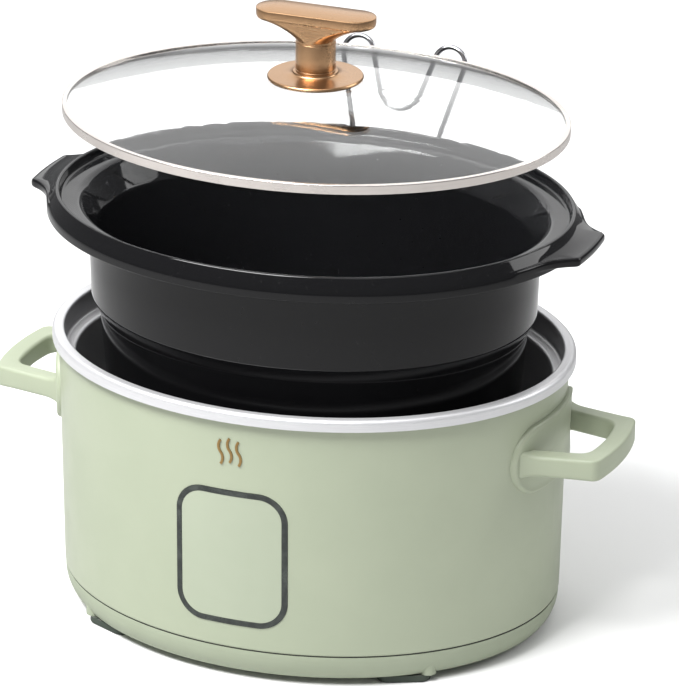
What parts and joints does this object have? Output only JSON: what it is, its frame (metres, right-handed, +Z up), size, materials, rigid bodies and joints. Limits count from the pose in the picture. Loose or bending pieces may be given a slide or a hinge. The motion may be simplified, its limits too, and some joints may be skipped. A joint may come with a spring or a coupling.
{
  "type": "slow cooker",
  "caption": "Oval slow cooker: heated base with side handles and touch panel, black glazed crock, glass lid with bar grip, and a plug-in wire lid rest.",
  "frame": {"origin": "on the table, under the middle of the whole cooker's box", "axes": "+Z up, +X towards the right handle, -Y out of the front with the touch panel"},
  "size_m": [0.448, 0.3334, 0.4271],
  "materials": {
    "shell_paint": "satin sage green enamel",
    "rim_metal": "brushed, with a dark coated well",
    "pan_plastic": "satin sage green",
    "seal": "matt black",
    "feet": "matt dark green",
    "screws": "zinc plated",
    "handle_plastic": "satin sage green",
    "plated_steel": "plated",
    "panel_outline": "dark grey green",
    "panel_face": "satin sage green",
    "inner_plastic": "moulded, unpolished",
    "board": "green circuit board",
    "emblem_gold": "satin gold",
    "glass_fibre": "woven",
    "fuse_body": "satin",
    "sensor_body": "moulded",
    "relay_case": "blue",
    "transformer_core": "varnished",
    "capacitor_case": "sleeved",
    "gland": "black",
    "socket_plastic": "satin sage green",
    "crock_glaze": "gloss black glaze",
    "lid_glass": "clear tempered",
    "lid_steel": "satin",
    "seal_clear": "clear silicone",
    "knob_metal": "brushed rose gold",
    "rest_wire": "bright plated"
  },
  "bodies": {
    "base": {"outer_shell": "shell_paint", "heating_liner": "rim_metal", "base_pan": "pan_plastic", "base_seal": "seal", "feet": "feet", "pan_screws": "screws", "handle_left": "handle_plastic", "handle_right": "handle_plastic", "handle_backing_left": "plated_steel", "handle_backing_right": "plated_steel", "handle_screws": "screws", "panel_outline": "panel_outline", "touch_panel": "panel_face", "panel_tray": "inner_plastic", "control_board": "board", "board_screws": "screws", "front_emblem": "emblem_gold", "heater_band": "plated_steel", "insulation_sleeve": "glass_fibre", "band_clamp": "plated_steel", "thermal_fuse": "fuse_body", "fuse_clip": "plated_steel", "temperature_sensor": "sensor_body", "sensor_strap": "plated_steel", "tie_boss": "plated_steel", "tie_bolt": "screws", "tie_nut": "screws", "power_board": "board", "power_board_screws": "screws", "relay": "relay_case", "transformer": "transformer_core", "capacitors": "capacitor_case", "terminal_block": "inner_plastic", "cord_gland": "gland", "gland_nut": "gland", "rest_socket": "socket_plastic", "socket_screws": "screws"},
    "crock": {"crock": "crock_glaze"},
    "lid": {"lid_glass": "lid_glass", "lid_rim": "lid_steel", "lid_seal": "seal_clear", "knob_flange": "knob_metal", "knob_stem": "knob_metal", "knob_grip": "knob_metal", "knob_screw": "screws", "knob_washer": "plated_steel", "knob_seal": "seal_clear"},
    "lid_rest": {"lid_rest": "rest_wire"}
  },
  "joints": [
    {"name": "crock_lift", "type": "slide", "parent": "base", "child": "crock", "axis": [0, 0, 1], "range_m": [-0.0825, 0.09]},
    {"name": "lid_lift", "type": "slide", "parent": "crock", "child": "lid", "axis": [0, 0, 1], "range_m": [-0.061, 0.06]},
    {"name": "lid_rest_lift", "type": "slide", "parent": "base", "child": "lid_rest", "axis": [0, 0, 1], "range_m": [0, 0.045]}
  ]
}
